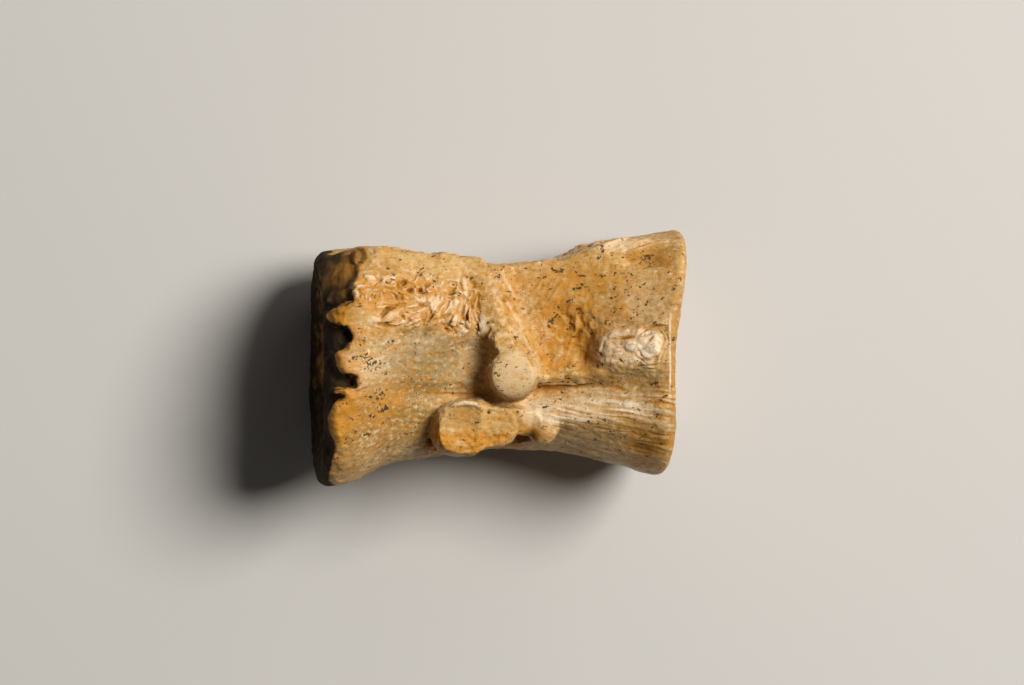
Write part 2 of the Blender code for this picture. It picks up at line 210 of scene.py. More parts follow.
# Pleats, as u and v of the upper end and a length, how what is drawn meets the rest, the curling ground,
# pits, a groove (u, v, depth) and a ring (u, v, radius).
PLEATS = (
    (-10.45, 5.15, 0.5), (-10.08, 5.15, 0.5), (-9.5, 5.18, 0.55), (-8.97, 5.15, 0.5), (-2.66, 4.4, 0.9),
    (-2.25, 4.3, 1.3), (-1.9, 4.4, 1.6),
)
PLEAT_HALF = 0.13
PLEAT_HEIGHT = 0.38
STROKE_HALO = 0.16
MERGING = 14.0
CURLS = ((-8.2, 5.2, 3.3, 1.5), (-3.2, 4.9, 2.1, 1.5))
PITS = (
    (-7.5, 4.75, 0.3, 0.28), (-7.1, 6.05, 0.24, 0.3), (-6.8, 5.25, 0.24, 0.3), (-5.95, 5.35, 0.28, 0.34),
    (-5.2, 5.8, 0.34, 0.24), (-9.4, 4.75, 0.16, 0.24), (-3.35, 5.15, 0.26, 0.16), (-7.1, 3.05, 0.16, 0.24),
)
PIT_DEPTH = 0.26
WRINKLE_GROOVE = ((-9.30, 3.30, 0.20), (-8.40, 3.95, 0.30), (-7.00, 4.25, 0.25), (-5.20, 4.40, 0.20))
RING = (-8.42, 6.15, 0.34)

# The broken left rim: notches, a small ball of sediment and loose fragments, as u, v, half length, half
# height and how deep or how high they are.
RIM_NOTCHES = (
    (-11.95, 1.6, 0.6, 0.6, 0.35), (-12.0, -1.95, 0.9, 0.45, 0.3), (-12.4, -3.1, 0.5, 0.25, 0.2),
)
RIM_BALL = (-11.10, 8.00, 0.42, 0.42, 0.45)
RIM_FRAGMENTS = (
    (-12.55, 3.2, 1.1, 0.7, 0.42), (-12.5, 4.8, 1.0, 0.7, 0.36), (-12.4, -3.3, 0.6, 0.9, 0.25),
)

# Clusters of black crumbs that are plain to see, as u and v.
CRUMBS = (
    (0.37, 6.5), (3.88, 7.16), (3.88, 6.4), (4.94, 6.98), (5.6, 6.94), (2.3, 5.59), (6.7, 5.5),
    (7.05, 5.75), (6.06, 4.5), (8.76, 6.55), (10.95, 6.57), (10.74, 5.34), (11.96, 5.74), (13.08, 5.57),
    (9.78, 4.8), (10.08, 3.87), (9.22, 2.71), (8.05, 3.16), (11.15, 2.91), (11.66, 3.42), (14.66, 5.69),
    (12.47, 4.43), (4.84, 2.96), (4.49, 2.56), (6.27, 2.66), (7.08, 3.47), (5.45, 3.31), (8.4, 7.92),
    (10.69, 8.12), (8.76, 8.62), (6.34, -0.73), (5.9, -1.71), (6.3, -1.62), (5.09, -3.51), (11.76, -4.09),
    (12.9, -2.12), (13.64, -3.26), (13.2, -4.7), (8.4, -6.5), (10.3, -6.4), (12.0, -6.4), (8.5, -0.67),
    (1.85, -0.77), (0.29, -1.35), (1.4, 0.6), (-0.44, -4.4), (-1.48, -5.34), (-2.32, -6.48), (-1.8, 6.38),
    (-8.26, 1.14), (-6.13, 0.95), (-6.7, -1.56), (-3.67, -2.39), (-11.2, -0.15), (-10.5, 0.1),
    (-9.9, -0.36), (-9.3, -0.6), (-8.5, -1.2), (-9.0, -3.05), (-8.7, -4.1), (-11.2, -4.8), (-9.7, -4.7),
    (-10.9, -6.0), (-12.0, -3.6),
)
CRUMB = (0.40, 0.22)

# Fine lines of the right half: the lamina beside the knob, the shelf's edge, cracks and broken ledges.
LAMINA_LINE = (
    (1.3, 3.3, 0.02), (2.3, 1.75, 0.1), (3.1, 0.4, 0.16), (3.58, -0.6, 0.2), (3.6, -1.5, 0.16),
)
KNOB_GROOVE = ((1.70, 1.70, 0.05), (2.75, 0.30, 0.16), (3.25, -0.60, 0.16))
SHELF_LINE = ((3.60, -2.15), (4.30, -2.24), (5.20, -2.20), (6.30, -2.26), (7.90, -2.10))
CRACK = (
    (1.31, 7.45, 0.12), (0.82, 5.5, 0.18), (0.98, 4.35, 0.16), (1.9, 2.7, 0.1), (2.9, 1.6, 0.05),
)
LEDGE = ((11.40, 1.60), (11.75, 1.90), (12.10, 2.25), (12.60, 2.45), (13.4, 2.60), (14.30, 2.80))
LOST_EDGE = ((10.80, 7.15), (11.60, 6.95), (12.60, 7.10), (13.60, 7.18), (14.60, 7.25))

# The patch by the right rim and its plate, as u, v, half length and half height, its lumps and its slits.
PATCH = (10.9, 0.55, 2.9, 1.5)
PLATE = (12.55, 1.05, 0.95, 1.05)
PATCH_LUMPS = (
    (8.95, 0.85, 0.6, 0.5, 0.2), (9.85, 0.4, 0.9, 0.55, 0.24), (10.9, 0.8, 0.75, 0.42, 0.2),
    (11.0, -0.15, 0.75, 0.42, 0.22), (9.2, -0.4, 0.7, 0.38, 0.18), (11.6, 0.45, 0.42, 0.44, 0.16),
    (10.2, 1.75, 1.3, 0.34, 0.14), (12.2, -0.65, 1.0, 0.3, 0.16), (10.1, -1.05, 0.9, 0.26, 0.12),
)
PATCH_SLITS = (
    (9.6, 1.22, 11.2, 1.42, 0.15, 0.24), (8.45, 0.6, 8.85, 0.2, 0.12, 0.18),
    (12.3, 1.2, 12.7, 1.45, 0.16, 0.22), (11.2, -0.7, 12.9, 0.1, 0.12, 0.18),
    (11.0, -1.05, 13.0, -0.45, 0.12, 0.14), (10.0, -0.25, 10.6, -0.4, 0.12, 0.12),
)

# Other ground of the right half, in the same form.
FOSSA = (5.9, 1.6, 3.4, 3.6)
FOSSA_FIBRES = (7.1, 1.6, 1.5, 2.2)
COLUMN = (1.1, 5.0, 1.3, 2.8)
SKIN = (3.2, 4.6, 2.6, 2.4)
KNOB_SHOULDER = (-0.85, 2.6, 0.5, 0.8)
TOP_LAYERS = (10.0, 9.3, 3.4, 0.9)

# The line inside the right rim, as u, the centre of the fan of striations, and the lower facet: its furrow,
# the arc of its front lobe, two pits and the edges of its hanging part.
RIM_U = 14.20
STRIATION_CENTRE = (-13.9, -0.7)
FACET_FURROW = ((-4.70, -3.05, 0.08), (-3.40, -2.98, 0.16), (-2.00, -3.02, 0.18), (-0.80, -3.10, 0.10))
FACET_ARC = (
    (-4.45, -5.2, 0.06), (-4.25, -4.42, 0.18), (-3.58, -3.9, 0.2), (-2.45, -3.66, 0.18),
    (-1.45, -3.78, 0.12), (-0.85, -4.2, 0.04),
)
FACET_PITS = ((-5.15, -6.9, 0.45, 0.40, 0.30), (-4.3, -7.2, 0.25, 0.22, 0.2))
HANGING_FOOT = ((-5.6, -9.5), (2.6, -9.5))
HANGING_TOP = ((-5.6, -6.0), (-3.6, -6.1), (0.5, -5.9), (2.6, -5.6))

# The knob's steep left side, as x, y and half sizes, and two openings in the belly, as x, z and half sizes.
KNOB_WALL = (-0.9, 0.6, 1.8, 3.0)
FORAMINA = ((-1.2, 1.6, 0.55, 0.35), (1.4, -1.3, 0.50, 0.32))

# Shares that every vertex stores for the material: five of staining, with painted highlights in the pale
# share and painted shade in the brown and dull ones, how mottled it is and its relief.
STAIN_AND_PAINTED_LIGHT_SHARES = ("ochre", "pale", "brown", "dull", "black", "mottled", "relief")

# Where the colours of the near flank change: soft spots as u, v, half length, half height and strength.
OCHRE_SPOTS = (
    (7.0, 5.8, 6.5, 3.2, 0.75), (5.8, 1.4, 3.0, 2.6, 0.85), (-7.0, 5.6, 5.0, 1.7, 0.35),
    (-2.4, -5.0, 2.6, 1.5, 0.45), (4.6, -2.5, 1.3, 0.35, 0.9), (12.2, -6.6, 1.6, 1.9, 0.35),
    (-12.4, 0.0, 1.5, 8.0, 1.30), (-9.6, 3.9, 0.9, 0.6, 0.7), (-9.5, -4.6, 3.6, 2.4, 0.40),
    (14.6, 0.0, 0.35, 7.0, 0.25), (1.0, -4.9, 1.6, 0.8, 0.45), (10.9, 0.5, 2.4, 1.3, 0.60),
    (9.5, -4.8, 3.6, 1.8, 0.30), (12.3, 4.6, 2.0, 2.2, 0.25), (1.2, 5.0, 1.1, 2.8, 0.45),
    (-8.4, -3.4, 1.2, 1.6, 0.6),
)
# The pale spot at u -1.6, v -0.3, in the hollow left of the knob, is painted light over the knob's shadow.
PALE_SPOTS = (
    (10.9, 0.5, 2.4, 1.3, 0.50), (-1.6, -0.3, 1.2, 2.2, 0.20), (-9.6, -0.6, 1.7, 1.6, 0.40),
    (-5.5, 1.2, 3.0, 0.9, 0.15), (12.3, 4.6, 1.8, 1.8, 0.32),
)
# The brown spot at u 14.75 and the dull spot at u 14.7 are painted shade on the band right of the right rim
# line.
BROWN_SPOTS = ((14.75, 0.0, 0.42, 8.0, 0.20), (13.0, -7.5, 3.0, 1.6, 0.24), (7.4, 0.5, 0.6, 1.3, 0.45))
DULL_SPOTS = (
    (-5.8, -0.2, 3.3, 2.4, 1.70), (-8.0, -4.5, 4.5, 3.0, 0.9), (-12.2, 0.0, 1.4, 7.0, 1.2),
    (14.7, 0.0, 0.5, 8.0, 1.5),
)
BLACK_SPOTS = (
    (12.4, 8.05, 1.00, 0.60, 0.75), (13.2, 2.7, 0.9, 0.3, 0.6), (-9.8, -0.5, 1.6, 1.0, 0.5),
    (-9.0, -3.6, 0.9, 1.3, 0.45),
)
EVEN_SPOTS = ((-6.5, 8.2, 5.0, 1.0, 0.8), (-2.6, -5.0, 1.8, 1.2, 0.7), (0.8, -5.2, 1.4, 0.9, 0.6))
CALM_SPOTS = ((-12.2, 0.0, 1.0, 8.0, 0.6), (-5.2, 0.0, 3.4, 2.4, 0.5))

# Other coloured places in the same form, without a strength, the middle of the knob's top, and the lower
# crest as u, v and share.
PALE_COLUMN = (1.1, 4.6, 1.2, 3.0)
PALE_EDGE = (9.6, 9.2, 3.6, 0.7)
LOST_SPOT = (12.7, 8.2, 1.9, 1.1)
BREAK_SPOT = (3.0, -6.3, 0.9, 0.7)
PORE_SPOT = (-6.5, 0.2, 5.5, 3.0)
MIXED_SPOTS = ((-9.0, -5.5, 4.0, 2.4), (12.0, -6.5, 3.5, 2.4), (1.1, 5.0, 1.6, 3.0))
KNOB_TOP = (1.40, -1.42)
# The paler lower crest is partly pale bone and partly a painted highlight.
PALE_CREST = ((3.3, -4.3, 1.0), (6.5, -4.2, 1.0), (12.0, -4.0, 0.6))

# How the points are turned before a noise is read.
TILTED = np.array(Matrix.Rotation(0.7, 3, "X") @ Matrix.Rotation(0.9, 3, "Z") @ Matrix.Rotation(0.4, 3, "Y"))


def smooth(low, high, value):
    """0 below low, 1 above high and an even slope between them."""
    t = np.clip((value - low) / (high - low), 0.0, 1.0)
    return t * t * (3.0 - 2.0 * t)


def along_stations(x, column):
    """One column of STATIONS at every x, along a cubic curve with no overshoot at the ends."""
    xs = np.array([row[0] for row in STATIONS])
    ys = np.array([row[column] for row in STATIONS])
    slopes = np.gradient(ys, xs)
    i = np.clip(np.searchsorted(xs, x) - 1, 0, len(xs) - 2)
    gap = xs[i + 1] - xs[i]
    t = np.clip((x - xs[i]) / gap, 0.0, 1.0)
    rise = (2 * t**3 - 3 * t**2 + 1) * ys[i] + (3 * t**2 - 2 * t**3) * ys[i + 1]
    bend = (t**3 - 2 * t**2 + t) * slopes[i] + (t**3 - t**2) * slopes[i + 1]
    return rise + gap * bend


def dome(x, y, spot, power=1.5):
    """1 in the middle of an elliptical spot (x, y, half length, half height) and 0 outside it."""
    q = ((x - spot[0]) / spot[2]) ** 2 + ((y - spot[1]) / spot[3]) ** 2
    return np.clip(1.0 - q, 0.0, 1.0) ** power


def table(x, y, spot, edge):
    """1 on a flat topped elliptical spot, falling to 0 over a share of its radius."""
    q = np.sqrt(((x - spot[0]) / spot[2]) ** 2 + ((y - spot[1]) / spot[3]) ** 2)
    return 1.0 - smooth(1.0 - edge, 1.0 + edge, q)


def ridge(x, y, line, width, crown=0.0):
    """Height of a rounded ridge over a line of (x, y, height) points, flat over a share of its width."""
    best = np.zeros_like(x)
    for (x0, y0, h0), (x1, y1, h1) in zip(line[:-1], line[1:]):
        dx, dy = x1 - x0, y1 - y0
        t = np.clip(((x - x0) * dx + (y - y0) * dy) / (dx * dx + dy * dy), 0.0, 1.0)
        gap = np.hypot(x - x0 - t * dx, y - y0 - t * dy)
        best = np.maximum(best, (h0 + t * (h1 - h0)) * (1.0 - smooth(crown * width, width, gap)))
    return best


def bar(x, y, line, width):
    """Height of a bar with steep sides over a line of (x, y, height) points."""
    return ridge(x, y, [(a, b, h + SINK) for a, b, h in line], width, 0.55) - SINK


def blend(shapes, softness):
    """The highest of several heights, with a fillet of about the given size where two meet."""
    top = shapes[0]
    for shape in shapes[1:]:
        h = np.clip(0.5 + (top - shape) / (2 * softness), 0.0, 1.0)
        top = shape + (top - shape) * h + softness * h * (1.0 - h)
    return top


def lumps(points, cell, seed):
    """Smooth noise from -1 to 1 whose lumps are about one cell across, the same on every run."""
    p = points / cell + 100.0
    base = np.floor(p).astype(np.int64)
    f = p - base
    f = f * f * (3.0 - 2.0 * f)
    total = np.zeros(len(points))
    for corner in range(8):
        step = np.array([corner & 1, corner >> 1 & 1, corner >> 2 & 1])
        at = base + step
        h = at[:, 0] * 73856093 ^ at[:, 1] * 19349663 ^ at[:, 2] * 83492791 ^ seed * 2654435
        h = (h ^ (h >> 13)) * 1274126177 & 0xFFFFFFFF
        h = (h ^ (h >> 16)) & 0xFFFF
        total += (h / 32767.5 - 1.0) * np.prod(np.where(step, f, 1.0 - f), axis=1)
    return total


def grains(points, cell, seed):
    """Noise whose lumps don't line up with the bone."""
    return lumps(points @ TILTED, cell, seed)


def profile_rows():
    """x, share of the section size and cup share of every row from the left pole to the right."""
    inner = 1.0 - RIM_ROUND / 9.6
    left = [(LEFT_END, inner * s, 1.0 - s) for s in np.linspace(0.0, 1.0, FACE_ROWS)]
    for a in np.linspace(0.0, np.pi / 2, ROUND_ROWS)[1:]:
        left.append((LEFT_END + RIM_ROUND * (1 - np.cos(a)), inner + (1 - inner) * np.sin(a), 0.0))
    right = [(LEFT_END + RIGHT_END - x, s, c) for x, s, c in reversed(left)]
    run = np.linspace(LEFT_END + RIM_ROUND, RIGHT_END - RIM_ROUND, BODY_ROWS + 2)[1:-1]
    return np.array(left + [(x, 1.0, 0.0) for x in run] + right)


def cup_shape(share):
    """How far an end face is hollowed at a share of the way in from its lip: steep, then flat."""
    return smooth(0.0, 0.75, share) * 0.85 + 0.15 * share


def base_surface(angle, ring):
    """Millimetre points of the plain hourglass for an angle around X and a row of profile_rows."""
    x, share, cup = ring[:, 0], ring[:, 1], ring[:, 2]
    top, bottom, depth = along_stations(x, 1), along_stations(x, 2), along_stations(x, 3)
    c, s = np.cos(angle), np.sin(angle)
    power = along_stations(x, 5) + (along_stations(x, 4) - along_stations(x, 5)) * smooth(-0.2, 0.2, s)
    y = (top + bottom) / 2 + share * (top - bottom) / 2 * np.sign(s) * np.abs(s) ** (2 / power)
    z = share * depth * np.sign(c) * np.abs(c) ** (2 / power)
    reach = np.where(y > 0, RIGHT_TOP_REACH * smooth(0, 10, y), RIGHT_BOTTOM_REACH * smooth(0, 9, -y))
    at_right = smooth(7.0, RIGHT_END, x)
    x = x + at_right * reach + np.where(x < 0, LEFT_CUP, -RIGHT_CUP) * cup_shape(cup)
    return np.stack([x, y, z], axis=1)


def upper_facet(x, y):
    """Height of the low, round knob for the upper rib head: a gently domed top with steep sides."""
    q = np.hypot((x - UPPER_FACET[0]) / UPPER_FACET[2], (y - UPPER_FACET[1]) / UPPER_FACET[3])
    side = np.clip(1.0 - q**14, 0.0, 1.0) ** 0.5
    return (UPPER_FACET[4] + SINK) * side - SINK - 0.30 * np.clip(q, 0.0, 1.0) ** 2


def lower_facet(x, y):
    """Height of the oblong facet for the lower rib head, rising as the flank falls, its bridge and bud."""
    q = np.abs((x - LOWER_FACET[0]) / LOWER_FACET[2]) ** FACET_POWER
    past = smooth(LOBE_EDGE - 0.5, LOBE_EDGE + 0.5, x - 0.12 * (y - LOWER_FACET[1]))
    half = LOWER_FACET[3] * (1.0 - 0.22 * past)
    q = (q + np.abs((y - LOWER_FACET[1] - 0.06 * (x + 2.0)) / half) ** FACET_POWER) ** (1 / FACET_POWER)
    facet = (LOWER_FACET[4] + SINK) * (1.0 - smooth(0.80, 1.12, q)) - SINK
    below = np.clip(-3.6 - y, 0.0, 3.6)
    facet = facet - 0.32 * dome(x, y, FACET_LOBE, 0.8) - LOBE_STEP * past
    facet = facet + FACET_RISE * below + FACET_BEND * below**2
    bud = (FACET_BUD[4] + SINK) * dome(x, y, FACET_BUD, 0.45) - SINK
    return blend([facet, bar(x, y, BRIDGE, 1.2), bud], 0.3)


def furrow(x, y):
    """Depth of the lengthwise furrow between the two rib facets, open towards both ends."""
    return np.maximum(ridge(x, y, LEFT_FURROW, FURROW_HALF), ridge(x, y, RIGHT_FURROW, FURROW_HALF))


def ridges(x, y):
    """The buttress above the knob, its thin lamina, the shelf, the lower crest and the main folds."""
    lines = ((BUTTRESS, 2.3), (LAMINA, 0.75), (SHELF, 1.2), (CREST, 2.4))
    lines = lines + tuple((fold, FOLD_HALF) for fold in FOLDS)
    return sum(ridge(x, y, line, half) for line, half in lines)


def hollows(x, y):
    """Depth of the hollows before and behind the knob, and of the layer lost at the upper right."""
    deep = sum(depth * dome(x, y, spot, power) for depth, spot, power in HOLLOWS)
    return deep + LOST_LAYER * smooth(6.9, 7.2, y) * smooth(9.7, 10.2, x)


def swellings(x, y):
    """Height of the low raised ground."""
    return sum(height * table(x, y, spot, edge) for height, spot, edge in SWELLINGS)


def past_line(x, y, line):
    """How far a point lies to the left of a line of (y, x) points."""
    heights, places = np.array(line).T
    return np.clip(np.interp(y, heights, places) - x, 0.0, None)


def chip_depth(x, y, share):
    """How far the left rim is worn down: a bevel, and the layer that has chipped off along a ragged edge."""
    worn = past_line(x, y, BEVEL_LINE)
    chipped = CHIP_STEP * smooth(0.0, CHIP_EDGE, past_line(x, y, RAGGED_EDGE)) * smooth(0.55, 1.0, share)
    return chipped + (BEVEL_SLOPE * worn + BEVEL_BEND * worn**2) * share


def pedicle_top(x):
    """How far the broken pedicle stands above or below the station's top edge along the bone."""
    return 0.38 * smooth(-5.4, -4.4, x) * (1.0 - smooth(-1.5, -1.1, x)) - 0.15 * np.exp(-((x / 1.2) ** 2))


def side_height(x, y, hidden):
    """Outward height in millimetres of one flank, how far its knob leans left and its facet hangs down."""
    if hidden:
        x, y = x + 0.25 + 0.04 * y, 1.04 * y - 0.2
    ground = swellings(x, y) - hollows(x, y) - furrow(x, y) + ridges(x, y)
    knob = blend([upper_facet(x, y), bar(x, y, NECK, 1.2)], 0.4)
    low = lower_facet(x, y)
    height = blend([ground, knob, low], 0.55) - 0.9 * dome(x, y, FACET_BREAK, 1.0)
    lean = KNOB_LEAN * np.clip(knob, 0.0, None) * smooth(-0.2, 0.4, knob - low)
    hanging = smooth(3.6, 6.2, -y) * smooth(-0.2, 0.4, low - knob)
    return np.stack([height, lean, FACET_DROP * smooth(0.0, 1.2, low) * hanging])


def apply_features(points, angle, ring):
    """Raises both flanks, cuts the canal trough between the pedicle bases and roughens their breaks."""
    x, y, z = points.T
    facing, rising = np.cos(angle), np.sin(angle)
    on_body = 1.0 - smooth(0.0, 0.08, ring[:, 2])
    side = smooth(0.06, 0.42, np.abs(facing)) * on_body
    side = side * smooth(LEFT_END, LEFT_END + 2.5, x) * (1.0 - smooth(RIGHT_END - 2.2, RIGHT_END, x))
    near, far = side_height(x, y, False), side_height(x, y, True)
    height, lean, drop = side * np.where(facing > 0, near, far)
    z = z + height * np.where(facing > 0, 1.0, -0.97)
    z = z - chip_depth(ring[:, 0], y, ring[:, 1]) * smooth(-0.1, 0.5, facing)
    back = smooth(0.25, 0.70, rising) * on_body
    middle = smooth(LEFT_END, -9.5, x) * (1.0 - smooth(9.5, RIGHT_END + 1.0, x))
    canal = np.exp(-((z / CANAL_HALF) ** 4)) * back * (0.35 + 0.65 * middle)
    break_line = lumps(points, 1.7, 5) * 0.6 + lumps(points, 0.9, 6) * 0.4
    pedicle = np.exp(-(((np.abs(z) - PEDICLE_AT) / PEDICLE_HALF) ** 4)) * back * middle
    level = PEDICLE_LEVEL * np.clip(along_stations(x, 1) - y, 0.0, 2.0) + pedicle_top(x)
    keel = smooth(0.6, 0.95, -rising) * np.exp(-((x / 7.0) ** 2)) * np.exp(-((z / 2.6) ** 2)) * on_body
    y = y - drop - CANAL_DEPTH * canal + pedicle * (level + 0.18 * break_line) + 0.18 * keel
    return np.stack([x - lean, y, z], axis=1)


def bone_points(mesh):
    """Places every vertex of the halved UV sphere, read as an angle around X and a place in the profile."""
    unit = read_points(mesh)
    unit /= np.linalg.norm(unit, axis=1)[:, None]
    rows = profile_rows()
    level = np.arccos(np.clip(-unit[:, 2], -1.0, 1.0)) / np.pi * (len(rows) - 1)
    ring = np.stack([np.interp(level, np.arange(len(rows)), column) for column in rows.T], axis=1)
    angle = np.arctan2(unit[:, 1], unit[:, 0])
    points = apply_features(base_surface(angle, ring), angle, ring)
    weather = 0.10 * lumps(points, 2.4, 1) + 0.05 * lumps(points, 1.2, 2)
    points[:, 1:] += weather[:, None] * unit[:, [1, 0]]
    points[:, 2] += MID_DEPTH - REST_TRIM
    return points


def rough(points, cell, seed, layers=3):
    """Uneven noise from about -1 to 1, each finer layer half as strong as the one before."""
    total = sum(grains(points, cell / 2**k, seed + 31 * k) / 2**k for k in range(layers))
    return total / (2.0 - 0.5 ** (layers - 1))


def streaks(along, across, deep, length, width, seed):
    """Noise drawn out into fibres of a length and a width."""
    return grains(np.stack([along / length, across / width, deep / length], axis=1), 1.0, seed)


def worms(points, cell, seed):
    """1 along the curling lines where a noise changes sign, and 0 between them."""
    return 1.0 - smooth(0.0, 0.45, np.abs(grains(points, cell, seed)))


def strokes(u, v, rows):
    """Height of short rounded ridges, each from (u0, v0) to (u1, v1) with a half width and a height, thinner
    towards its ends."""
    best = np.zeros_like(u)
    for u0, v0, u1, v1, width, height in rows:
        du, dv = u1 - u0, v1 - v0
        t = np.clip(((u - u0) * du + (v - v0) * dv) / (du * du + dv * dv), 0.0, 1.0)
        taper = 1.0 - 0.45 * (2.0 * t - 1.0) ** 2
        gap = np.hypot(u - u0 - t * du, v - v0 - t * dv) / (width * taper)
        best = np.maximum(best, height * taper * np.clip(1.0 - gap**2, 0.0, 1.0) ** 0.8)
    return best


def domes(u, v, rows, power):
    """Height of rounded lumps, each as u, v, half length, half height and how far it stands out."""
    best = np.zeros_like(u)
    for row in rows:
        best = np.maximum(best, row[4] * dome(u, v, row, power))
    return best


def cliff(u, v, line, reach):
    """1 just above a line of (u, v) points and -1 just below it, fading out over a reach."""
    places, heights = np.array(line).T
    above = v - np.interp(u, places, heights)
    along = smooth(places[0] - 0.3, places[0] + 0.3, u) * (1.0 - smooth(places[-1] - 0.6, places[-1], u))
    return along * (2.0 * smooth(-0.07, 0.07, above) - 1.0) * (1.0 - smooth(0.0, reach, np.abs(above)))


def spot(u, v, row):
    """1 in the middle of a soft spot (u, v, half length, half height) and 0 far from it."""
    return np.exp(-(((u - row[0]) / row[2]) ** 2) - ((v - row[1]) / row[3]) ** 2)


def spots(u, v, rows):
    """Sum of soft spots, each as u, v, half length, half height and strength."""
    return sum(row[4] * spot(u, v, row) for row in rows)


def warped(points, u, v, reach, cell, seed):
    """u and v shifted a little by noise, so that what is drawn with them isn't straight."""
    return u + reach * grains(points, cell, seed), v + reach * grains(points, cell, seed + 1)


def between(u, v, foot, top, edge):
    """1 between two lines of (u, v) points, falling to 0 over an edge."""
    low, high = (np.interp(u, *np.array(line).T) for line in (foot, top))
    inside = smooth(-edge, edge, v - low) * (1.0 - smooth(-edge, edge, v - high))
    first, last = foot[0][0], foot[-1][0]
    return inside * smooth(first - edge, first + edge, u) * (1.0 - smooth(last - edge, last, u))


def wrinkles(points, u, v):
    """The wrinkled ground before the buttress, with folds that bend round it, a ring, curling walls and pits:
    raised and sunk heights, the folds alone, and the shares of trough and of wrinkled ground."""
    drawn_u, drawn_v = warped(points, u, v, 0.17, 1.0, 40)
    drawn_u, drawn_v = warped(points, drawn_u, drawn_v, 0.06, 0.38, 38)
    pleats = [(a, b, a - 0.04, b - length, PLEAT_HALF, PLEAT_HEIGHT) for a, b, length in PLEATS]
    rows = [*FINGERS, *pleats]
    drawn = strokes(drawn_u, drawn_v, rows) * (0.85 + 0.45 * grains(points, 0.6, 47))
    halo = strokes(drawn_u, drawn_v, [(*row[:4], row[4] + STROKE_HALO, 1.0) for row in rows])
    beside = smooth(0.0, 0.35, halo)
    u, v = warped(points, u, v, 0.25, 1.4, 41)
    u, v = warped(points, u, v, 0.06, 0.45, 43)
    turn = FOLD_REACH * np.arctan2(u - FOLD_CENTRE[0], FOLD_CENTRE[1] - v)
    away = np.hypot(u - FOLD_CENTRE[0], v - FOLD_CENTRE[1])
    fan = between(u, v, FOLD_FOOT, FOLD_TOP, 0.35)
    fold = smooth(0.03, 0.32, np.abs(streaks(turn, away, points[:, 2], 1.5, 0.40, 44)))
    ring = 0.26 * (1.0 - smooth(0.0, 0.17, np.abs(np.hypot(u - RING[0], v - RING[1]) - RING[2])))
    curly = np.clip(sum(table(u, v, curl, 0.3) for curl in CURLS), 0.0, 1.0)
    wall = worms(points, 0.75, 48) * (0.8 + 0.4 * grains(points, 1.1, 49))
    loose = np.maximum(0.28 * fan * fold, 0.32 * curly * wall) * (1.0 - 0.62 * beside)
    raised = (np.logaddexp(MERGING * np.maximum(loose, ring), MERGING * drawn) - np.log(2.0)) / MERGING
    ground = np.clip(curly + fan, 0.0, 1.0)
    sunk = domes(u, v, [(*pit, PIT_DEPTH) for pit in PITS], 1.0) + ridge(u, v, WRINKLE_GROOVE, 0.24)
    sunk = sunk + ground * (0.12 + 0.08 * beside + 0.14 * smooth(0.25, 0.60, grains(points, 0.62, 42)))
    trough = ground * (1.0 - smooth(0.02, 0.15, raised)) * (0.7 + 0.5 * grains(points, 1.2, 36))
    return raised + 0.06 * ground * rough(points, 0.50, 37, 2), sunk, raised, trough, ground


def broken_rim(points, u, v):
    """The outer layer's crumbling edge by the left rim: heights, the share outside it and loose fragments."""
    bent_u, bent_v = warped(points, u, v, 0.22, 0.9, 55)
    inside = np.interp(bent_v, *np.array(RAGGED_EDGE).T) + 0.8 - bent_u
    lip = np.exp(-(((inside + 0.45) / 0.55) ** 2))
    outside = smooth(-0.1, 0.25, inside)
    crumbs = 0.10 * lip + 0.30 * lip * rough(points, 1.2, 51) + 0.06 * lip * worms(points, 0.6, 52)
    crumbs = crumbs + domes(bent_u, bent_v, [RIM_BALL], 0.6) - domes(bent_u, bent_v, RIM_NOTCHES, 0.9)
    loose_u, loose_v = warped(points, bent_u, bent_v, 0.35, 0.9, 34)
    fragments = outside * domes(loose_u, loose_v, RIM_FRAGMENTS, 0.6) * (0.8 + 0.6 * grains(points, 0.7, 33))
    lumpy = 0.24 * rough(points, 1.3, 53) + 0.06 * streaks(v, u, points[:, 2], 3.0, 0.35, 54)
    return crumbs + outside * lumpy + fragments, outside, fragments


